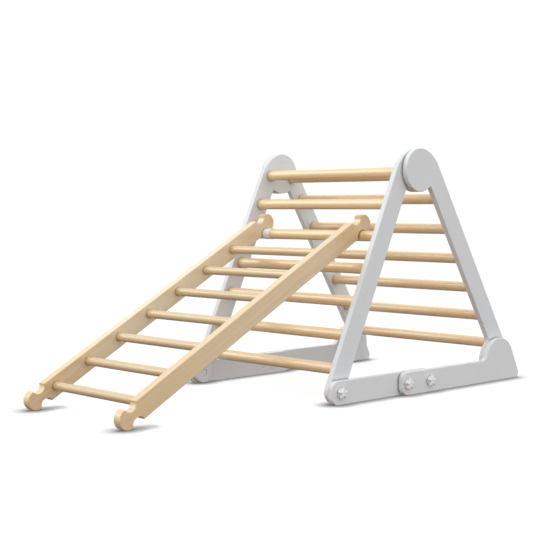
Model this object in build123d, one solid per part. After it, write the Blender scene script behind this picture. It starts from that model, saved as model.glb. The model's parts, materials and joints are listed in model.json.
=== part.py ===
from build123d import *
from math import sin, cos, radians, sqrt, asin, degrees
import os

# Folding climbing triangle with a hook-on ladder ramp.
# X runs from the far side to the near side, Y from the ladder to the rear, Z is up.
# Dimensions in millimetres.

# ---- boards -------------------------------------------------------------
BOARD = 18.0            # thickness of every painted board
BOARD_GAP = 0.5         # running gap between neighbouring boards
INNER_X = 280.0         # inner face of the front legs
ARRIS = 1.8             # rounding of board edges
PAST = 1.0              # how far a cut runs past the face it leaves through
LAYER = BOARD + BOARD_GAP
FRONT_LEG_X = INNER_X                 # layer 1: front leg
MID_LAYER_X = INNER_X + LAYER         # layer 2: rear leg and front base bar
OUTER_LAYER_X = INNER_X + 2 * LAYER   # layer 3: rear base bar

# ---- triangle -----------------------------------------------------------
APEX_Z = 664.0          # height of the folding axis
HEAD_R = 65.0           # round head of each leg
BLEND_R = 110.0         # large arc from the head into the leg's outer edge
LEG_OUT = 79.0          # outer edge of a leg, measured from the apex line
LEG_W = 63.5            # leg width
LEG_IN = LEG_OUT - LEG_W
LEG_MID = LEG_OUT - LEG_W / 2
NECK_FILLET = 9.0       # concave corner between head and inner edge
FRONT_LEAN = 25.0       # degrees from the vertical
REAR_LEAN = 30.8

# ---- base bars ----------------------------------------------------------
BAR_H = 68.0
BAR_MID = BAR_H / 2
BAR_CORNER = 24.0       # rounded corners at the free ends
FRONT_BAR_NOSE = 34.0   # front bar ahead of the front foot pivot
FOLD_Y = 21.0           # folding pivot of the base, under knob 3
LOCK_Y = -80.0          # locking bolt of the base, under knob 2
REAR_BAR_NOSE_Y = -103.0
REAR_FOOT = (370.0, 66.0)   # rear foot pivot (Y, Z)
REAR_FOOT_R = 63.0      # round foot of the rear leg
LOBE_R = 68.5           # lobe of the rear bar over that foot
LOBE_FILLET = 24.0
HEEL = (452.0, 16.0)    # centre of the rear bottom corner (Y, Z)
HEEL_R = 16.0

# ---- rungs --------------------------------------------------------------
RUNG_R = 16.0
RUNG_SEAT = 12.0        # blind seat depth in the boards
FRONT_RUNGS = 7
FRONT_RUNG_1 = 29.5     # first rung, distance down the leg from the apex
FRONT_RUNG_STEP = 103.5
REAR_RUNGS = 6
REAR_RUNG_1 = 128.5
REAR_RUNG_STEP = 107.8
TOP_RUNG = (40.0, 650.0)    # second rung across the front leg heads (Y, Z)
RUNG_CHAMFER = 1.0

# ---- fasteners ----------------------------------------------------------
BOLT_R = 4.0
RUN = 0.05              # radial running clearance
BOLT_HEAD_R = 10.0
BOLT_HEAD_T = 2.5
RECESS_R = 10.8
RECESS_T = 3.1
SLOT_HALF = 4.5         # half width of the locking slot
SLOT_RUN_OUT = 4.0      # degrees the slot runs on past the bar's top edge
BOLT_REACH = 10.5       # bolt length past the outermost board
APEX_PIN_R = 6.0
APEX_PIN_SEAT = 13.0
APEX_PIN_FREE = 0.5     # from the pin's end to the bottom of the rear leg's bore
FOOT_PIN_R = 5.0
FOOT_PIN_SEAT = 12.0
FOOT_SOCKET_R = 5.4

# ---- star knobs ---------------------------------------------------------
KNOB_LIFT = 0.3         # gap between knob and board
SKIRT_R = 17.0
SKIRT_T = 5.0
SKIRT_CHAMFER = 1.2
STAR_R = 15.5
STAR_WAIST_R = 7.6
STAR_T = 8.5
STAR_TAPER = 14.0
STAR_POINTS = 5
STAR_TIP_R = 1.6
KNOB_BORE_T = 10.8

# ---- ladder -------------------------------------------------------------
RAIL_T = 26.6
RAIL_HALF_W = 27.75
RAIL_OUT_X = 224.0      # outer face of each rail from the ladder's middle
LADDER_X = -11.0        # ladder's middle
RAIL_ARRIS = 2.2
NOTCH_R = 19.5
NOTCH_OFF = 31.0        # notch centre from the rail's middle line
HOOK_GAP = 0.4          # rung to notch roof
HEAD_TO_NOTCH = 23.0
HEAD_SPAN = 993.0       # between the round ends
LADDER_RUNG_R = 12.5
LADDER_RUNGS = 7
LADDER_RUNG_STEP = 124.8
LADDER_RUNG_0 = 24.0    # rung pattern origin, from the hooked rung
LADDER_SEAT = 12.0
HOOK_RUNG = 3           # front rung the ladder hangs on
FIRST_SLOPE = 25.0      # degrees, where the search for the resting slope starts
SLOPE_STEPS = 30
SLEEVE_L = 30.0
SLEEVE_WALL = 1.2
SLEEVE_GAP = 0.4        # between a sleeve and its rail

RAIL_IN_X = RAIL_OUT_X - RAIL_T
HOOK_DROP = NOTCH_OFF - NOTCH_R + HOOK_GAP + RUNG_R   # hooked rung under the middle line


def leg_point(lean, down, out, side):
    """Point (Y, Z) on a leg: down from the apex, out from the apex line; side -1 front, +1 rear."""
    a = radians(lean)
    y = down * sin(a) + out * cos(a)
    z = APEX_Z - down * cos(a) + out * sin(a)
    return side * y, z


def pie(centre, radius, start, sweep):
    """Filled circular sector in the sketch plane."""
    arc = CenterArc(centre, radius, start, sweep)
    return make_face([Line(centre, arc @ 0), arc, Line(arc @ 1, centre)])


def box_face(x0, x1, y0, y1):
    return Pos((x0 + x1) / 2, (y0 + y1) / 2) * Rectangle(x1 - x0, y1 - y0)


def near(vertices, point):
    return sorted(vertices, key=lambda v: (v.X - point[0]) ** 2 + (v.Y - point[1]) ** 2)[0]


def board(profile, x0, thickness=BOARD, arris=ARRIS):
    """Board from a (Y, Z) profile between x0 and x0 + thickness, with rounded edges."""
    solid = extrude(Plane.YZ.offset(x0) * profile, thickness)
    ends = solid.faces().filter_by(Axis.X)
    rims = [e for f in ends for e in f.outer_wire().edges()]
    return fillet(rims, arris)


def rod(y, z, x0, x1, radius):
    """Cylinder along X."""
    return Pos((x0 + x1) / 2, y, z) * Rot(0, 90, 0) * Cylinder(radius, x1 - x0)


def blend_sector(radius):
    """Sector that carries the round end into the leg's outer edge."""
    cx = LEG_OUT - BLEND_R
    cy = -sqrt((BLEND_R - radius) ** 2 - cx ** 2)
    angle = degrees(asin(-cy / (BLEND_R - radius)))
    return pie((cx, cy), BLEND_R, 0, angle), cy


def leg_top():
    """Round head and the start of the shank, apex at the origin, outward to the right."""
    sector, start = blend_sector(HEAD_R)
    shank = box_face(LEG_IN, LEG_OUT, -FRONT_RUNG_1 - HEAD_R * 2, start)
    top = Circle(HEAD_R) + sector + shank
    corner = near(top.vertices(), (LEG_IN, -sqrt(HEAD_R ** 2 - LEG_IN ** 2)))
    return fillet(corner, NECK_FILLET)


def front_leg_profile():
    foot_down = foot_distance()
    shank = box_face(LEG_IN, LEG_OUT, -foot_down, -FRONT_RUNG_1 - HEAD_R)
    profile = leg_top() + shank + Pos(LEG_MID, -foot_down) * Circle(LEG_W / 2)
    profile = Pos(0, APEX_Z) * Rot(0, 0, FRONT_LEAN) * profile
    return mirror(profile, about=Plane.YZ)


def foot_distance():
    """Distance down the front leg at which its middle line meets the bar's pivot height."""
    a = radians(FRONT_LEAN)
    return (APEX_Z - BAR_MID + LEG_MID * sin(a)) / cos(a)


def rear_leg_profile():
    a = radians(REAR_LEAN)
    dy, dz = REAR_FOOT[0], REAR_FOOT[1] - APEX_Z
    down = dy * sin(a) - dz * cos(a)
    out = dy * cos(a) + dz * sin(a)
    cx = LEG_OUT - BLEND_R
    rise = sqrt((BLEND_R - REAR_FOOT_R) ** 2 - (out - cx) ** 2)
    sweep = degrees(asin(rise / (BLEND_R - REAR_FOOT_R)))
    sector = pie((cx, -down + rise), BLEND_R, 0, -sweep)
    shank = box_face(LEG_IN, LEG_OUT, -down + rise, -FRONT_RUNG_1 - HEAD_R)
    join = box_face(LEG_IN, LEG_OUT - REAR_FOOT_R / 2, -down, -down + rise)
    foot = Pos(out, -down) * Circle(REAR_FOOT_R)
    profile = leg_top() + shank + foot + sector + join
    corner = near(profile.vertices(), (LEG_IN, -down + sqrt(REAR_FOOT_R ** 2 - (LEG_IN - out) ** 2)))
    profile = fillet(corner, NECK_FILLET * 2)
    return Pos(0, APEX_Z) * Rot(0, 0, REAR_LEAN) * profile


def front_bar_profile(foot_y):
    rear_end = FOLD_Y + BAR_MID
    bar = box_face(foot_y - FRONT_BAR_NOSE, FOLD_Y, 0, BAR_H)
    nose = [v for v in bar.vertices() if v.X < foot_y]
    bar = fillet(nose, BAR_CORNER)
    return bar + Pos(FOLD_Y, BAR_MID) * Circle(rear_end - FOLD_Y)


def rear_bar_profile():
    bar = box_face(REAR_BAR_NOSE_Y, REAR_FOOT[0], 0, BAR_H)
    nose = [v for v in bar.vertices() if v.X < 0]
    bar = fillet(nose, BAR_CORNER)
    lobe = Pos(*REAR_FOOT) * Circle(LOBE_R)
    heel = Pos(*HEEL) * Circle(HEEL_R)
    tail = make_hull(lobe.edges() + heel.edges())
    above_floor = box_face(REAR_BAR_NOSE_Y, HEEL[0] + HEEL_R, 0, REAR_FOOT[1] + LOBE_R)
    profile = bar + (tail & above_floor)
    step = BAR_H - REAR_FOOT[1]
    corner = near(profile.vertices(), (REAR_FOOT[0] - sqrt(LOBE_R ** 2 - step ** 2), BAR_H))
    return fillet(corner, LOBE_FILLET)


def arc_slot(half):
    """Slot on an arc about the folding pivot, from the locking bolt's seat out through the top edge."""
    reach = FOLD_Y - LOCK_Y
    top = degrees(asin((BAR_MID + half) / (reach - half))) + SLOT_RUN_OUT
    outer = CenterArc((FOLD_Y, BAR_MID), reach + half, 180, -top)
    inner = CenterArc((FOLD_Y, BAR_MID), reach - half, 180, -top)
    band = make_face([outer, Line(outer @ 1, inner @ 1), inner, Line(inner @ 0, outer @ 0)])
    return band + Pos(LOCK_Y, BAR_MID) * Circle(half)


def rung(y, z, half_length, radius):
    solid = rod(y, z, -half_length, half_length, radius)
    return chamfer(solid.edges().filter_by(GeomType.CIRCLE), RUNG_CHAMFER)


def bolt(y, z, seat_x, end_x):
    """Flush-headed bolt along X with its head at seat_x."""
    head = rod(y, z, seat_x, seat_x + BOLT_HEAD_T, BOLT_HEAD_R)
    return head + rod(y, z, seat_x, end_x, BOLT_R)


def star_face():
    points = []
    for i in range(2 * STAR_POINTS):
        r = STAR_R if i % 2 == 0 else STAR_WAIST_R
        a = radians(90 + i * 180 / STAR_POINTS)
        points.append((r * cos(a), r * sin(a)))
    star = make_face(Polyline(*points, close=True))
    tips = [v for v in star.vertices() if sqrt(v.X ** 2 + v.Y ** 2) > (STAR_R + STAR_WAIST_R) / 2]
    return fillet(tips, STAR_TIP_R)


def knob(y, z, x0):
    """Star knob on a round skirt, base at x0, pointing to +X."""
    skirt = rod(y, z, x0, x0 + SKIRT_T, SKIRT_R)
    skirt = chamfer(skirt.edges().group_by(Axis.X)[-1], SKIRT_CHAMFER)
    face = Plane.YZ.offset(x0 + SKIRT_T) * star_face()
    star = Pos(0, y, z) * extrude(face, STAR_T, taper=STAR_TAPER)
    bore = rod(y, z, x0 - PAST, x0 + KNOB_BORE_T, BOLT_R + RUN)
    return skirt + star - bore


# ---- positions ----------------------------------------------------------
front_foot = leg_point(FRONT_LEAN, foot_distance(), LEG_MID, -1)
front_rungs = [leg_point(FRONT_LEAN, FRONT_RUNG_1 + FRONT_RUNG_STEP * i, LEG_MID, -1)
               for i in range(FRONT_RUNGS)]
rear_rungs = [leg_point(REAR_LEAN, REAR_RUNG_1 + REAR_RUNG_STEP * i, LEG_MID, 1)
              for i in range(REAR_RUNGS)]
hook = front_rungs[HOOK_RUNG - 1]

# slope at which the lower round ends stand on the floor
low_head = HEAD_SPAN - HEAD_TO_NOTCH
slope = FIRST_SLOPE
for _ in range(SLOPE_STEPS):
    rise = hook[1] + HOOK_DROP * cos(radians(slope)) - RAIL_HALF_W
    slope = degrees(asin(rise / low_head))


def ladder_point(down, up):
    """Point (Y, Z) on the ladder: down the slope from the hook, up from its middle line."""
    a = radians(slope)
    lift = up + HOOK_DROP
    return hook[0] - down * cos(a) - lift * sin(a), hook[1] - down * sin(a) + lift * cos(a)


front_end = ladder_point(low_head, 0)[0] - RAIL_HALF_W
rear_end = HEEL[0] + HEEL_R
Y_MIDDLE = (front_end + rear_end) / 2     # moves the origin under the middle of the whole set

nodes = {}

# ---- legs ---------------------------------------------------------------
front_leg = board(front_leg_profile(), FRONT_LEG_X)
leg_1_face = FRONT_LEG_X + BOARD
for y, z in front_rungs + [TOP_RUNG]:
    front_leg -= rod(y, z, FRONT_LEG_X - PAST, FRONT_LEG_X + RUNG_SEAT, RUNG_R)
front_leg -= rod(0, APEX_Z, leg_1_face - APEX_PIN_SEAT, leg_1_face + PAST, APEX_PIN_R)
front_leg -= rod(*front_foot, FRONT_LEG_X - PAST, leg_1_face + PAST, BOLT_R)
front_leg -= rod(*front_foot, FRONT_LEG_X - PAST, FRONT_LEG_X + RECESS_T, RECESS_R)

rear_leg = board(rear_leg_profile(), MID_LAYER_X)
leg_2_face = MID_LAYER_X + BOARD
for y, z in rear_rungs:
    rear_leg -= rod(y, z, MID_LAYER_X - PAST, MID_LAYER_X + RUNG_SEAT, RUNG_R)
rear_leg -= rod(0, APEX_Z, MID_LAYER_X - PAST, MID_LAYER_X + APEX_PIN_SEAT, APEX_PIN_R + RUN)
rear_leg -= rod(*REAR_FOOT, leg_2_face - FOOT_PIN_SEAT, leg_2_face + PAST, FOOT_PIN_R)

# ---- base bars ----------------------------------------------------------
front_bar = board(front_bar_profile(front_foot[0]), MID_LAYER_X)
front_bar -= rod(*front_foot, MID_LAYER_X - PAST, leg_2_face + PAST, BOLT_R + RUN)
front_bar -= rod(FOLD_Y, BAR_MID, MID_LAYER_X - PAST, leg_2_face + PAST, BOLT_R)
front_bar -= rod(FOLD_Y, BAR_MID, MID_LAYER_X - PAST, MID_LAYER_X + RECESS_T, RECESS_R)
front_bar -= extrude(Plane.YZ.offset(MID_LAYER_X - PAST) * arc_slot(SLOT_HALF), BOARD + 2 * PAST)
front_bar -= extrude(Plane.YZ.offset(MID_LAYER_X - PAST) * arc_slot(RECESS_R), RECESS_T + PAST)

rear_bar = board(rear_bar_profile(), OUTER_LAYER_X)
bar_face = OUTER_LAYER_X + BOARD
rear_bar -= rod(FOLD_Y, BAR_MID, OUTER_LAYER_X - PAST, bar_face + PAST, BOLT_R + RUN)
rear_bar -= rod(LOCK_Y, BAR_MID, OUTER_LAYER_X - PAST, bar_face + PAST, BOLT_R)
rear_bar -= rod(*REAR_FOOT, OUTER_LAYER_X - PAST, OUTER_LAYER_X + FOOT_PIN_SEAT, FOOT_SOCKET_R)

# ---- hardware -----------------------------------------------------------
apex_pin = rod(0, APEX_Z, leg_1_face - APEX_PIN_SEAT, MID_LAYER_X + APEX_PIN_SEAT - APEX_PIN_FREE, APEX_PIN_R)
foot_pin = rod(*REAR_FOOT, leg_2_face - FOOT_PIN_SEAT, leg_2_face, FOOT_PIN_R)
seat_lift = RECESS_T - BOLT_HEAD_T
front_bolt = bolt(*front_foot, FRONT_LEG_X + seat_lift, leg_2_face + BOLT_REACH)
fold_bolt = bolt(FOLD_Y, BAR_MID, MID_LAYER_X + seat_lift, bar_face + BOLT_REACH)
lock_bolt = bolt(LOCK_Y, BAR_MID, MID_LAYER_X + seat_lift / 2, bar_face + BOLT_REACH)
front_knob = knob(*front_foot, leg_2_face + KNOB_LIFT)
fold_knob = knob(FOLD_Y, BAR_MID, bar_face + KNOB_LIFT)
lock_knob = knob(LOCK_Y, BAR_MID, bar_face + KNOB_LIFT)

side_parts = {
    "front_leg": front_leg,
    "rear_leg": rear_leg,
    "front_bar": front_bar,
    "rear_bar": rear_bar,
    "apex_pin": apex_pin,
    "foot_pin": foot_pin,
    "front_bolt": front_bolt,
    "fold_bolt": fold_bolt,
    "lock_bolt": lock_bolt,
    "front_knob": front_knob,
    "fold_knob": fold_knob,
    "lock_knob": lock_knob,
}
for name, solid in side_parts.items():
    nodes[name + "_near"] = solid
    nodes[name + "_far"] = mirror(solid, about=Plane.YZ)

# ---- rungs --------------------------------------------------------------
for i, (y, z) in enumerate(front_rungs, 1):
    nodes[f"front_rung_{i}"] = rung(y, z, FRONT_LEG_X + RUNG_SEAT, RUNG_R)
for i, (y, z) in enumerate(rear_rungs, 1):
    nodes[f"rear_rung_{i}"] = rung(y, z, MID_LAYER_X + RUNG_SEAT, RUNG_R)
nodes["top_rung"] = rung(*TOP_RUNG, FRONT_LEG_X + RUNG_SEAT, RUNG_R)

# ---- ladder -------------------------------------------------------------
rail_2d = box_face(-low_head, HEAD_TO_NOTCH, -RAIL_HALF_W, RAIL_HALF_W)
rail_2d += Pos(-low_head, 0) * Circle(RAIL_HALF_W) + Pos(HEAD_TO_NOTCH, 0) * Circle(RAIL_HALF_W)
for down in (0, low_head - HEAD_TO_NOTCH):
    for up in (-NOTCH_OFF, NOTCH_OFF):
        rail_2d -= Pos(-down, up) * Circle(NOTCH_R)
rail_2d = Pos(*ladder_point(0, 0)) * Rot(0, 0, slope) * rail_2d
rail_near = board(rail_2d, LADDER_X + RAIL_IN_X, RAIL_T, RAIL_ARRIS)
rail_far = Pos(2 * LADDER_X, 0, 0) * mirror(rail_near, about=Plane.YZ)
for i in range(1, LADDER_RUNGS + 1):
    y, z = ladder_point(LADDER_RUNG_0 + LADDER_RUNG_STEP * i, 0)
    half = RAIL_IN_X + LADDER_SEAT
    seat = rod(y, z, LADDER_X - half, LADDER_X + half, LADDER_RUNG_R)
    rail_near -= seat
    rail_far -= seat
    nodes[f"ladder_rung_{i}"] = Pos(LADDER_X, 0, 0) * rung(y, z, half, LADDER_RUNG_R)
nodes["ladder_rail_near"] = rail_near
nodes["ladder_rail_far"] = rail_far

for name, side in (("near", 1), ("far", -1)):
    start = LADDER_X + side * (RAIL_IN_X - SLEEVE_GAP)
    ends = sorted((start, start - side * SLEEVE_L))
    sleeve = rod(*hook, ends[0], ends[1], RUNG_R + SLEEVE_WALL)
    nodes[f"hook_sleeve_{name}"] = sleeve - rod(*hook, ends[0] - PAST, ends[1] + PAST, RUNG_R + RUN)

# ---- export -------------------------------------------------------------
os.makedirs("parts", exist_ok=True)
for name, solid in nodes.items():
    export_step(Pos(0, -Y_MIDDLE, 0) * solid, f"parts/{name}.step")
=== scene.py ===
import json
from math import atan2, cos, pi, radians, sin

import bmesh
import bpy
from mathutils import Matrix, Vector


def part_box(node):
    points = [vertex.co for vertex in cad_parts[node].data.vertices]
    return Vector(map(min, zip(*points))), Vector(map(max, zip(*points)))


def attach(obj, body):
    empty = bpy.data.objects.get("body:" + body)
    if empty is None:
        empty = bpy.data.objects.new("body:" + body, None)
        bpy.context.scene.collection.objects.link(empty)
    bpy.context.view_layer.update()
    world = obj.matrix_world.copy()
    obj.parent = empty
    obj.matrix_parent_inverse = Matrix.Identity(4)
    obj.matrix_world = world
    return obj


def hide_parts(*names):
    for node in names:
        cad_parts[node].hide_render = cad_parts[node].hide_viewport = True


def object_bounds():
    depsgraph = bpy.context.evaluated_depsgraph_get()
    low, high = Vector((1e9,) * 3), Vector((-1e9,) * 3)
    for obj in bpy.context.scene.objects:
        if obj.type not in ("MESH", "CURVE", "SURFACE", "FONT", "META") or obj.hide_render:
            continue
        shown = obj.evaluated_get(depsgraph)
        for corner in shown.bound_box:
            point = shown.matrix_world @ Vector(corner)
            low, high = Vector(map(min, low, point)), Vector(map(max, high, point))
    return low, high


# Looks of the folding climbing triangle with its ladder ramp. Metres, in the CAD frame:
# +X to the near side, +Y to the rear, +Z up.

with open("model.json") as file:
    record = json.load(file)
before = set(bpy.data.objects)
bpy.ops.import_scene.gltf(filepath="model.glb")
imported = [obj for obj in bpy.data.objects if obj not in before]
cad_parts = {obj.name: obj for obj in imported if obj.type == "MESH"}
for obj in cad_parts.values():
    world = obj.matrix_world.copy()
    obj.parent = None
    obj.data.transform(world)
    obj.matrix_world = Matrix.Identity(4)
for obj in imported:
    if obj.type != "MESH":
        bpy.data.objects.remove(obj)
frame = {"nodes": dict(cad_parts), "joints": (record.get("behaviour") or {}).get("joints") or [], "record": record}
cad_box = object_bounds()
nodes = frame["nodes"]
joints = {j["name"]: j for j in frame["joints"]}
bodies = frame["record"]["behaviour"]["bodies"]
body_of_node = {n: b for b, members in bodies.items() for n in members}

MM = 0.001

# The ladder's slope, from the direction in which it lifts off its rung.
lift_axis = joints["ladder_lift"]["axis"]
LADDER_SLOPE = atan2(-lift_axis[1], lift_axis[2])
FRONT_LEAN = radians(25.0)         # how far each pair of legs leans from upright
REAR_LEAN = radians(30.8)

# ---- camera -------------------------------------------------------------
CAMERA_OFFSET = Vector((2.6988, -2.5514, 0.2072))   # from the middle of the object
CAMERA_YAW = radians(46.803)
CAMERA_PITCH = radians(-3.443)
CAMERA_ROLL = radians(-0.282)
CAMERA_LENS = 80.42
CAMERA_SENSOR = 36.0
CAMERA_SIGHT = 100.0               # clip distance, past the floor's corners

# ---- light --------------------------------------------------------------
BACKGROUND = 1.05                  # what the camera sees behind the object
SKY_TOP = (1.03, 1.03, 1.02)       # light from straight above
SKY_SIDE = (1.060, 1.090, 1.105)   # from the horizon, slightly cooler
SKY_BELOW = (0.21, 0.140, 0.100)   # weak and warm, as floor and wood give it back
SKY_STOPS = (0.36, 0.52, 0.95)     # heights of the three, from 0 straight down to 1 up
SUN_STRENGTH = 0.43                # broad lamp from the camera's left
SUN_COLOUR = (1.00, 0.985, 0.965)
SUN_SPREAD = radians(25)
SUN_FROM = Vector((-0.66, -0.55, 0.52))
OVERHEAD_STRENGTH = 0.22           # its mirror image is the pale line along each rung
OVERHEAD_COLOUR = (1.00, 0.99, 0.97)
OVERHEAD_SPREAD = radians(30)
OVERHEAD_FROM = Vector((0.0, -0.35, 1.0))
FLOOR_SIZE = 60.0
FLOOR_DROP = 0.0002                # keeps the floor out of the plane of the feet
FLOOR_DULL, FLOOR_PALE = 0.09, 0.11
FLOOR_GLOW = 0.79                  # glow added where nothing is near, which makes the floor white; near pieces it fades into a painted contact shadow
FLOOR_DIM = 0.13                   # glow that every part of the floor has
CONTACT_REACH = 0.047              # painted contact shadow: the floor darkens where a piece is nearer than this
CONTACT_FALL = 3.4                 # the higher, the darker the painted contact shadow gets there

# ---- colours ------------------------------------------------------------
PAINT_COOL, PAINT_WARM = (0.770, 0.802, 0.830, 1), (0.792, 0.812, 0.830, 1)
# Painted highlight and wear: paint edges lighter where light catches them and where they are rubbed.
PAINT_WEAR_AND_HIGHLIGHT = (0.820, 0.825, 0.825, 1)
# Painted shade, laid on the white paint where other surfaces crowd in.
PAINT_CREVICE_SHADE = (0.300, 0.270, 0.245, 1)
RAIL_LIGHT, RAIL_DARK = (0.835, 0.622, 0.357, 1), (0.750, 0.517, 0.268, 1)
# Painted sheen: a paler colour around the middle of each rail, standing in for the brighter light there, not a
# tone of the wood.
RAIL_PAINTED_SHEEN = (0.890, 0.750, 0.525, 1)
PAINTED_SHEEN_SHARE = {"ladder_rail_near": 0.22, "ladder_rail_far": 0.80}   # how much painted sheen each rail gets
PAINTED_SHEEN_SHIFT = 0.08             # metres from the rail's middle up to the brightest point of its painted sheen
RUNG_LIGHT, RUNG_DARK = (0.910, 0.675, 0.385, 1), (0.850, 0.585, 0.298, 1)
STEP_LIGHT, STEP_DARK = (0.725, 0.540, 0.290, 1), (0.645, 0.450, 0.225, 1)
PLASTIC_DULL, PLASTIC_BRIGHT = (0.90, 0.90, 0.90, 1), (0.93, 0.93, 0.93, 1)
# Painted highlight on rounded plastic edges.
PLASTIC_EDGE_HIGHLIGHT = (0.94, 0.94, 0.94, 1)
# Painted shade in the plastic's crevices.
PLASTIC_CREVICE_SHADE = (0.34, 0.34, 0.34, 1)
ZINC_DARK, ZINC_LIGHT = (0.50, 0.50, 0.52, 1), (0.62, 0.62, 0.61, 1)
ZINC_CHIP = (0.55, 0.55, 0.56, 1)

# ---- what the masks look for ----------------------------------------------
FLAT, CORNER = 0.995, 0.90         # cosine between true and rounded normals
CROWDED, OPEN = 0.32, 0.92         # share of the view that other surfaces leave free, between full and no painted crevice shade
CLOUD_LOW, CLOUD_HIGH = 0.35, 0.65 # range in which broad noise moves a tint
FLECK_RARE = (0.80, 0.86)          # cells whose random value is above this have a fleck
FLECK_REACH = (0.36, 0.16)         # its rim and core, in distance from the cell's point
PAINTED_SHEEN_CORE = 0.35                   # share of a rail's reach that has the full painted sheen
KNOB_SEED = 60                     # after the seeds of the CAD nodes


class Graph:
    """A material's node tree, built one named node at a time."""

    def __init__(self, name):
        self.material = bpy.data.materials.new(name)
        self.material.use_nodes = True
        self.tree = self.material.node_tree
        self.bsdf = self.tree.nodes["Principled BSDF"]
        self.place = self.add("ShaderNodeTexCoord").outputs["Object"]

    def add(self, kind, **props):
        made = self.tree.nodes.new(kind)
        for key, value in props.items():
            setattr(made, key, value)
        return made

    def feed(self, socket, value):
        """Sets a socket to a constant, or links it to another node's output."""
        if isinstance(value, bpy.types.NodeSocket):
            self.tree.links.new(value, socket)
        else:
            socket.default_value = value

    def surface(self, values):
        """Feeds the shader's own sockets, by name."""
        for name, value in values.items():
            self.feed(self.bsdf.inputs[name], value)

    def mapped(self, rotation=(0, 0, 0), scale=(1, 1, 1), location=(0, 0, 0), vector=None):
        made = self.add("ShaderNodeMapping")
        self.feed(made.inputs["Vector"], vector or self.place)
        made.inputs["Location"].default_value = location
        made.inputs["Rotation"].default_value = rotation
        made.inputs["Scale"].default_value = scale
        return made.outputs["Vector"]

    def spot(self, seed):
        """Where a small piece's noise starts, different for each seed."""
        return self.mapped(location=(seed * 0.5, seed * 0.3, seed * 0.9))

    def noise(self, vector, scale, detail=3.0, roughness=0.55, distortion=0.0):
        made = self.add("ShaderNodeTexNoise")
        self.feed(made.inputs["Vector"], vector)
        made.inputs["Scale"].default_value = scale
        made.inputs["Detail"].default_value = detail
        made.inputs["Roughness"].default_value = roughness
        made.inputs["Distortion"].default_value = distortion
        return made.outputs["Fac"]

    def remap(self, value, low, high, to_low=0.0, to_high=1.0):
        made = self.add("ShaderNodeMapRange", interpolation_type="SMOOTHSTEP")
        self.feed(made.inputs["Value"], value)
        made.inputs["From Min"].default_value = low
        made.inputs["From Max"].default_value = high
        made.inputs["To Min"].default_value = to_low
        made.inputs["To Max"].default_value = to_high
        return made.outputs["Result"]

    def math(self, operation, a, b):
        made = self.add("ShaderNodeMath", operation=operation)
        self.feed(made.inputs[0], a)
        self.feed(made.inputs[1], b)
        return made.outputs["Value"]

    def times(self, a, b):
        return self.math("MULTIPLY", a, b)

    def mix(self, share, a, b):
        made = self.add("ShaderNodeMix", data_type="RGBA")
        self.feed(made.inputs["Factor"], share)
        self.feed(made.inputs["A"], a)
        self.feed(made.inputs["B"], b)
        return made.outputs["Result"]

    def cloudy(self, cloud, low_tint, high_tint):
        """A tint that drifts between two with broad noise."""
        return self.mix(self.remap(cloud, CLOUD_LOW, CLOUD_HIGH), low_tint, high_tint)

    def edge_mask(self, radius):
        """1 on rounded edges within radius of a corner, 0 on flats."""
        rounded = self.add("ShaderNodeBevel", samples=4)
        rounded.inputs["Radius"].default_value = radius
        normal = self.add("ShaderNodeNewGeometry").outputs["Normal"]
        dot = self.add("ShaderNodeVectorMath", operation="DOT_PRODUCT")
        self.feed(dot.inputs[0], rounded.outputs["Normal"])
        self.feed(dot.inputs[1], normal)
        return self.remap(dot.outputs["Value"], FLAT, CORNER)

    def crevice_shade(self, reach, depth):
        """Painted shade: up to depth where other surfaces crowd in within reach, 0 in the open."""
        crowd = self.add("ShaderNodeAmbientOcclusion", samples=8)
        crowd.inputs["Distance"].default_value = reach
        return self.remap(crowd.outputs["AO"], CROWDED, OPEN, depth, 0.0)

    def middle(self, rotation, centre, reach, most):
        """most around centre along local Y, fading to 0 at reach either side of it; masks the rails' painted
        sheen.
        """
        split = self.add("ShaderNodeSeparateXYZ")
        self.feed(split.inputs["Vector"], self.mapped(rotation=rotation))
        away = self.math("ABSOLUTE", self.math("SUBTRACT", split.outputs["Y"], centre), 0.0)
        return self.remap(away, PAINTED_SHEEN_CORE * reach, reach, most, 0.0)

    def fleck(self, vector, scale):
        """1 in a few short dashes along the grain, 0 elsewhere."""
        cells = self.add("ShaderNodeTexVoronoi")
        self.feed(cells.inputs["Vector"], vector)
        cells.inputs["Scale"].default_value = scale
        chosen = self.add("ShaderNodeSeparateColor")
        self.feed(chosen.inputs["Color"], cells.outputs["Color"])
        few = self.remap(chosen.outputs["Red"], *FLECK_RARE)
        return self.times(few, self.remap(cells.outputs["Distance"], *FLECK_REACH))

    def bump(self, heights):
        """heights is a list of (height socket, strength, distance in metres)."""
        normal = None
        for height, strength, distance in heights:
            made = self.add("ShaderNodeBump")
            made.inputs["Strength"].default_value = strength
            made.inputs["Distance"].default_value = distance
            self.feed(made.inputs["Height"], height)
            if normal is not None:
                self.feed(made.inputs["Normal"], normal)
            normal = made.outputs["Normal"]
        self.feed(self.bsdf.inputs["Normal"], normal)


def shade(colour, share):
    """The same hue, lighter or darker."""
    return tuple(min(1.0, c * share) for c in colour[:3]) + (1,)


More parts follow.
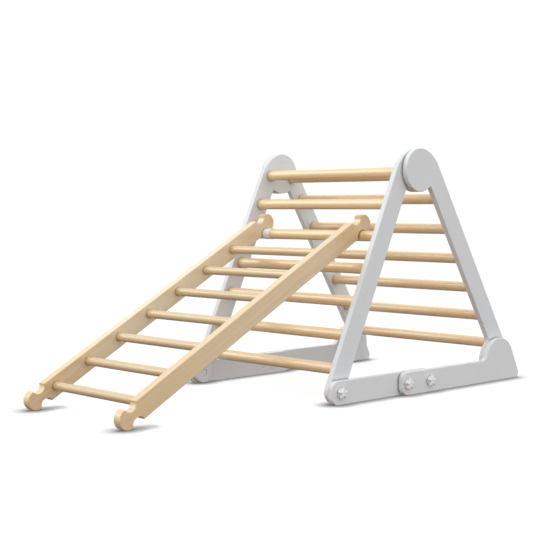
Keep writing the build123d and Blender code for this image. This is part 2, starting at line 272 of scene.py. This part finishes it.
def painted_board(name, rotation, seed):
    """Satin white paint on a board whose grain, along local Y, just shows through."""
    g = Graph(name)
    along = g.mapped(rotation=rotation, location=(seed * 0.37, seed * 1.9, seed * 0.73))
    grain = g.noise(g.mapped(scale=(1.0, 0.035, 1.0), vector=along), 420.0, 4.0, 0.6)
    orange_peel = g.noise(along, 900.0, 2.0, 0.5)
    cloud = g.noise(along, 7.0, 3.0, 0.5)
    scuff = g.noise(g.mapped(scale=(1.0, 0.25, 1.0), vector=along), 60.0, 5.0, 0.7)
    tint = g.cloudy(cloud, PAINT_COOL, PAINT_WARM)
    tint = g.mix(g.times(g.remap(grain, 0.40, 0.72), 0.08), tint, shade(PAINT_COOL, 0.84))
    # painted highlight and wear: rounded edges lighter, more so where scuffed
    wear_and_highlight = g.times(g.edge_mask(1.4 * MM), g.remap(scuff, 0.50, 0.72, 0.05, 0.50))
    tint = g.mix(wear_and_highlight, tint, PAINT_WEAR_AND_HIGHLIGHT)
    # painted shade where other surfaces crowd in
    tint = g.mix(g.crevice_shade(13.0 * MM, 0.85), tint, PAINT_CREVICE_SHADE)
    g.surface({
        "Base Color": tint, "Roughness": g.remap(scuff, 0.30, 0.75, 0.36, 0.52),
        "Specular IOR Level": 0.42,
    })
    g.bump([(grain, 0.10, 0.25 * MM), (orange_peel, 0.12, 0.12 * MM), (cloud, 0.15, 1.2 * MM)])
    return g.material


def natural_wood(name, rotation, seed, light, dark, painted_sheen_share=0.0):
    """Clear-lacquered wood with flecks, its grain along local Y.

    The last argument says how much painted sheen, a paler colour that stands in for light, a rail has around its
    middle.
    """
    g = Graph(name)
    along = g.mapped(rotation=rotation, location=(seed * 0.41, seed * 2.3, seed * 0.67))
    wander = g.noise(g.mapped(scale=(1.0, 0.10, 1.0), vector=along), 22.0, 3.0, 0.55)
    bands = g.noise(g.mapped(scale=(1.0, 0.022, 1.0), vector=along), 80.0, 3.0, 0.6, 0.5)
    fibre = g.noise(g.mapped(scale=(1.0, 0.016, 1.0), vector=along), 620.0, 4.0, 0.65)
    fleck = g.fleck(g.mapped(scale=(1.0, 0.16, 1.0), vector=along), 430.0)
    tint = g.mix(g.remap(bands, 0.32, 0.70), light, dark)
    tint = g.mix(g.times(g.remap(fibre, 0.42, 0.74), 0.22), tint, shade(dark, 0.82))
    tint = g.mix(g.times(g.remap(wander, 0.50, 0.80), 0.35), tint, shade(light, 1.08))
    if painted_sheen_share:
        # painted sheen: paler around the middle of a rail, standing in for light
        tint = g.mix(g.middle(rotation, PAINTED_SHEEN_CENTRE, RAIL_REACH, painted_sheen_share), tint, RAIL_PAINTED_SHEEN)
    tint = g.mix(g.times(fleck, 0.40), tint, shade(dark, 0.60))
    # painted highlight: rounded edges lighter
    tint = g.mix(g.times(g.edge_mask(1.5 * MM), 0.30), tint, shade(light, 1.12))
    # painted shade where other surfaces crowd in
    tint = g.mix(g.crevice_shade(8.0 * MM, 0.80), tint, shade(dark, 0.25))
    g.surface({
        "Base Color": tint, "Roughness": g.remap(fibre, 0.30, 0.75, 0.36, 0.50),
        "Specular IOR Level": 0.50,
        "Coat Weight": 1.0, "Coat Roughness": 0.22, "Coat IOR": 1.75,
    })
    g.bump([(fibre, 0.14, 0.20 * MM), (fleck, -0.10, 0.12 * MM), (bands, 0.08, 0.6 * MM)])
    return g.material


def white_plastic(name, seed):
    """Moulded white plastic with a fine spark-eroded grain."""
    g = Graph(name)
    spot = g.spot(seed)
    grit = g.noise(spot, 2600.0, 2.0, 0.5)
    cloud = g.noise(spot, 90.0, 3.0, 0.5)
    tint = g.cloudy(cloud, PLASTIC_DULL, PLASTIC_BRIGHT)
    # painted highlight: rounded edges lighter
    tint = g.mix(g.times(g.edge_mask(0.6 * MM), 0.5), tint, PLASTIC_EDGE_HIGHLIGHT)
    # painted shade where other surfaces crowd in
    tint = g.mix(g.crevice_shade(4.0 * MM, 0.60), tint, PLASTIC_CREVICE_SHADE)
    g.surface({
        "Base Color": tint, "Roughness": g.remap(cloud, 0.3, 0.7, 0.28, 0.40),
        "Subsurface Weight": 0.06, "Subsurface Radius": (0.002, 0.002, 0.002),
    })
    g.bump([(grit, 0.12, 0.05 * MM)])
    return g.material


def white_enamel(name, seed):
    """Bolt heads enamelled in the boards' white, chipped to bare zinc along their rims."""
    g = Graph(name)
    spot = g.spot(seed)
    chips = g.noise(spot, 520.0, 4.0, 0.65)
    cloud = g.noise(spot, 60.0, 3.0, 0.5)
    bare = g.times(g.edge_mask(0.5 * MM), g.remap(chips, 0.55, 0.60))
    tint = g.cloudy(cloud, PAINT_COOL, PAINT_WARM)
    g.surface({
        "Base Color": g.mix(bare, tint, ZINC_CHIP), "Metallic": bare,
        "Roughness": g.remap(cloud, 0.3, 0.7, 0.30, 0.42),
    })
    g.bump([(chips, 0.10, 0.05 * MM)])
    return g.material


def zinc_steel(name, seed):
    """Bright zinc on turned steel pins."""
    g = Graph(name)
    spot = g.spot(seed)
    turned = g.noise(g.mapped(scale=(1.0, 0.05, 0.05), vector=spot), 1800.0, 3.0, 0.6)
    cloud = g.noise(spot, 160.0, 3.0, 0.5)
    g.surface({
        "Base Color": g.cloudy(cloud, ZINC_DARK, ZINC_LIGHT), "Metallic": 1.0,
        "Roughness": g.remap(turned, 0.3, 0.7, 0.26, 0.44),
    })
    g.bump([(turned, 0.15, 0.05 * MM)])
    return g.material


def dress(piece, material):
    """Gives a piece one material and smooth shading."""
    piece.data.materials.clear()
    piece.data.materials.append(material)
    for face in piece.data.polygons:
        face.use_smooth = True


# ---- materials on the CAD nodes -------------------------------------------
ALONG_Y = (0.0, 0.0, 0.0)
ALONG_X = (0.0, 0.0, radians(90))
ALONG_LADDER = (-LADDER_SLOPE, 0.0, 0.0)
ALONG_FRONT_LEG = (radians(-90) + FRONT_LEAN, 0.0, 0.0)
ALONG_REAR_LEG = (radians(-90) - REAR_LEAN, 0.0, 0.0)

# Centre of the rails' painted sheen: the rail's middle, shifted up the ladder.
rail_low, rail_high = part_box("ladder_rail_near")
RAIL_REACH = (rail_high - rail_low).length / 2
up_the_ladder = Vector((0, cos(LADDER_SLOPE), sin(LADDER_SLOPE)))
PAINTED_SHEEN_CENTRE = ((rail_low + rail_high) / 2).dot(up_the_ladder) + PAINTED_SHEEN_SHIFT


def look_of(name, seed):
    """The material of a CAD node."""
    if name.startswith("front_leg"):
        return painted_board("paint_" + name, ALONG_FRONT_LEG, seed)
    if name.startswith("rear_leg"):
        return painted_board("paint_" + name, ALONG_REAR_LEG, seed)
    if name.startswith(("front_bar", "rear_bar")):
        return painted_board("paint_" + name, ALONG_Y, seed)
    if name.startswith("ladder_rail"):
        return natural_wood(
            "wood_" + name, ALONG_LADDER, seed, RAIL_LIGHT, RAIL_DARK, PAINTED_SHEEN_SHARE[name])
    if name.startswith("ladder_rung"):
        return natural_wood("wood_" + name, ALONG_X, seed, STEP_LIGHT, STEP_DARK)
    if "rung" in name:
        return natural_wood("wood_" + name, ALONG_X, seed, RUNG_LIGHT, RUNG_DARK)
    if "knob" in name or "sleeve" in name:
        return white_plastic("plastic_" + name, seed)
    if "bolt" in name:
        return white_enamel("enamel_" + name, seed)
    return zinc_steel("steel_" + name, seed)


for seed, name in enumerate(sorted(nodes), 1):
    dress(nodes[name], look_of(name, seed))


# ---- star knobs -------------------------------------------------------------
KNOB_ARMS = 5
KNOB_STEPS = 200                 # points round each ring
ARM_WAIST = 0.50                 # waist between two arms, as a share of their reach
ARM_BLUNT = 0.93                 # rounded tips end at this share
ARM_SOFTEN = 4                   # passes that round the outline
SKIRT = 0.86                     # round foot under the star
HUB = 0.36
HUB_DOME = 0.965                 # height share of the low dome's top

# (share of the star's outline, round radius as a share, blend 0 star to 1 round, height share)
KNOB_RINGS = [
    (0.0, SKIRT - 0.06, 1.0, 0.00), (0.0, SKIRT, 1.0, 0.04), (0.0, SKIRT, 1.0, 0.17),
    (0.0, SKIRT - 0.03, 1.0, 0.21), (0.90, HUB + 0.20, 0.35, 0.235), (0.94, HUB, 0.0, 0.27),
    (0.99, HUB, 0.0, 0.36), (1.00, HUB, 0.0, 0.55), (0.985, HUB, 0.0, 0.74),
    (0.965, HUB, 0.0, 0.82), (0.93, HUB, 0.0, 0.875), (0.87, HUB, 0.0, 0.915),
    (0.78, HUB, 0.0, 0.95), (0.66, HUB, 0.20, 0.98),
    (0.60, HUB, 0.70, 1.00), (0.60, HUB - 0.03, 1.0, 1.00), (0.60, HUB - 0.06, 1.0, 0.975),
    (0.60, HUB - 0.08, 1.0, 0.93), (0.60, HUB - 0.11, 1.0, 0.915), (0.60, HUB - 0.15, 1.0, 0.93),
    (0.60, HUB - 0.23, 1.0, 0.955),
]


def star_outline():
    """Reach of a blunt star in each direction, 1 at the tips, the first arm straight up."""
    half_arm = pi / KNOB_ARMS
    waist_x, waist_y = ARM_WAIST * cos(half_arm), ARM_WAIST * sin(half_arm)
    reach = []
    for i in range(KNOB_STEPS):
        turn = (2 * pi * i / KNOB_STEPS) % (2 * half_arm)
        turn = min(turn, 2 * half_arm - turn)
        edge = waist_y / (waist_y * cos(turn) + (1 - waist_x) * sin(turn))
        reach.append(min(edge, ARM_BLUNT))
    for _ in range(ARM_SOFTEN):
        reach = [
            (reach[i - 1] + 2 * reach[i] + reach[(i + 1) % KNOB_STEPS]) / 4
            for i in range(KNOB_STEPS)
        ]
    return [r / max(reach) for r in reach]


def make_knob(node):
    """Moulded star knob: a round foot, five rounded arms and a dished hub with a low dome."""
    low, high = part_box(node)
    radius = (high.y - low.y) / 2
    middle = (low + high) / 2
    outward = 1 if middle.x > 0 else -1
    base, tip = (low.x, high.x) if outward > 0 else (high.x, low.x)
    outline = star_outline()
    shape = bmesh.new()
    rings = []
    for star_share, round_share, blend, rise in KNOB_RINGS:
        ring = []
        x = base + (tip - base) * rise
        for i, reach in enumerate(outline):
            turn = 2 * pi * i / KNOB_STEPS
            r = radius * ((1 - blend) * star_share * reach + blend * round_share)
            y, z = middle.y + r * sin(turn), middle.z + r * cos(turn)
            ring.append(shape.verts.new((x, y, z)))
        rings.append(ring)
    for lower, upper in zip(rings, rings[1:]):
        for i in range(KNOB_STEPS):
            j = (i + 1) % KNOB_STEPS
            shape.faces.new((lower[i], lower[j], upper[j], upper[i]))
    shape.faces.new(rings[0])
    dome = shape.verts.new((base + (tip - base) * HUB_DOME, middle.y, middle.z))
    for i in range(KNOB_STEPS):
        shape.faces.new((rings[-1][i], rings[-1][(i + 1) % KNOB_STEPS], dome))
    bmesh.ops.recalc_face_normals(shape, faces=shape.faces)
    mesh = bpy.data.meshes.new("star_" + node)
    shape.to_mesh(mesh)
    shape.free()
    knob = bpy.data.objects.new("star_" + node, mesh)
    bpy.context.scene.collection.objects.link(knob)
    return knob


for seed, node in enumerate(sorted(n for n in nodes if "knob" in n), KNOB_SEED):
    knob = make_knob(node)
    dress(knob, white_plastic("plastic_star_" + node, seed))
    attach(knob, body_of_node[node])
    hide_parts(node)


# ---- floor, light and camera ------------------------------------------------
def make_floor():
    """White floor that darkens only where a piece is close to it, a painted contact shadow."""
    bpy.ops.mesh.primitive_plane_add(size=FLOOR_SIZE, location=(0, 0, -FLOOR_DROP))
    floor = bpy.context.object
    floor.name = "floor"
    g = Graph("floor")
    cloud = g.noise(g.place, 1.5, 2.0, 0.5)
    pale = g.mix(g.remap(cloud, 0.3, 0.7), (*[FLOOR_DULL] * 3, 1), (*[FLOOR_PALE] * 3, 1))
    near = g.add("ShaderNodeAmbientOcclusion", samples=16)
    near.inputs["Distance"].default_value = CONTACT_REACH
    # painted contact shadow: the glow fades where the AO finds a piece near
    free_of_painted_shadow = g.math("POWER", near.outputs["AO"], CONTACT_FALL)
    g.surface({
        "Base Color": pale, "Roughness": 0.9, "Specular IOR Level": 0.0,
        "Emission Color": (1, 1, 1, 1),
        "Emission Strength": g.math("ADD", g.times(free_of_painted_shadow, FLOOR_GLOW), FLOOR_DIM),
    })
    floor.data.materials.append(g.material)
    floor.visible_diffuse = False
    floor.visible_glossy = False
    floor.visible_shadow = False


def make_sky():
    """White behind the object. It lights the object evenly from above and around, and dimly
    from below.
    """
    world = bpy.data.worlds.new("studio")
    bpy.context.scene.world = world
    world.use_nodes = True
    tree = world.node_tree
    tree.nodes.clear()
    out = tree.nodes.new("ShaderNodeOutputWorld")
    direction = tree.nodes.new("ShaderNodeTexCoord").outputs["Generated"]
    split = tree.nodes.new("ShaderNodeSeparateXYZ")
    tree.links.new(direction, split.inputs[0])
    ramp = tree.nodes.new("ShaderNodeValToRGB")
    place = tree.nodes.new("ShaderNodeMapRange")
    place.inputs["From Min"].default_value = -1.0
    place.inputs["From Max"].default_value = 1.0
    tree.links.new(split.outputs["Z"], place.inputs["Value"])
    tree.links.new(place.outputs["Result"], ramp.inputs["Fac"])
    below, side, top = SKY_STOPS
    stops = ramp.color_ramp.elements
    stops[0].position = below
    stops[0].color = (*SKY_BELOW, 1)
    stops[1].position = top
    stops[1].color = (*SKY_TOP, 1)
    stops.new(side).color = (*SKY_SIDE, 1)
    light = tree.nodes.new("ShaderNodeBackground")
    tree.links.new(ramp.outputs["Color"], light.inputs["Color"])
    plain = tree.nodes.new("ShaderNodeBackground")
    plain.inputs["Color"].default_value = (BACKGROUND, BACKGROUND, BACKGROUND, 1)
    seen = tree.nodes.new("ShaderNodeLightPath")
    both = tree.nodes.new("ShaderNodeMixShader")
    tree.links.new(seen.outputs["Is Camera Ray"], both.inputs["Fac"])
    tree.links.new(light.outputs[0], both.inputs[1])
    tree.links.new(plain.outputs[0], both.inputs[2])
    tree.links.new(both.outputs[0], out.inputs["Surface"])


def make_sun(name, strength, colour, spread, come_from):
    """A lamp so far away that only its direction matters."""
    light = bpy.data.lights.new(name, "SUN")
    light.energy = strength
    light.color = colour
    light.angle = spread
    sun = bpy.data.objects.new(name, light)
    bpy.context.scene.collection.objects.link(sun)
    sun.rotation_mode = "QUATERNION"
    sun.rotation_quaternion = (-come_from).to_track_quat("-Z", "Y")


def make_camera():
    """The photograph's viewpoint, placed from the middle of the CAD box."""
    data = bpy.data.cameras.new("camera")
    data.sensor_width = CAMERA_SENSOR
    data.lens = CAMERA_LENS
    data.clip_end = CAMERA_SIGHT
    camera = bpy.data.objects.new("camera", data)
    bpy.context.scene.collection.objects.link(camera)
    low, high = cad_box
    turn = Matrix.Rotation(CAMERA_YAW, 4, "Z") @ Matrix.Rotation(pi / 2 + CAMERA_PITCH, 4, "X")
    turn = turn @ Matrix.Rotation(CAMERA_ROLL, 4, "Z")
    camera.matrix_world = Matrix.Translation((low + high) / 2 + CAMERA_OFFSET) @ turn
    bpy.context.scene.camera = camera


make_floor()
make_sky()
make_sun("sun", SUN_STRENGTH, SUN_COLOUR, SUN_SPREAD, SUN_FROM)
make_sun("overhead", OVERHEAD_STRENGTH, OVERHEAD_COLOUR, OVERHEAD_SPREAD, OVERHEAD_FROM)
make_camera()
bpy.context.scene.view_settings.view_transform = "Standard"
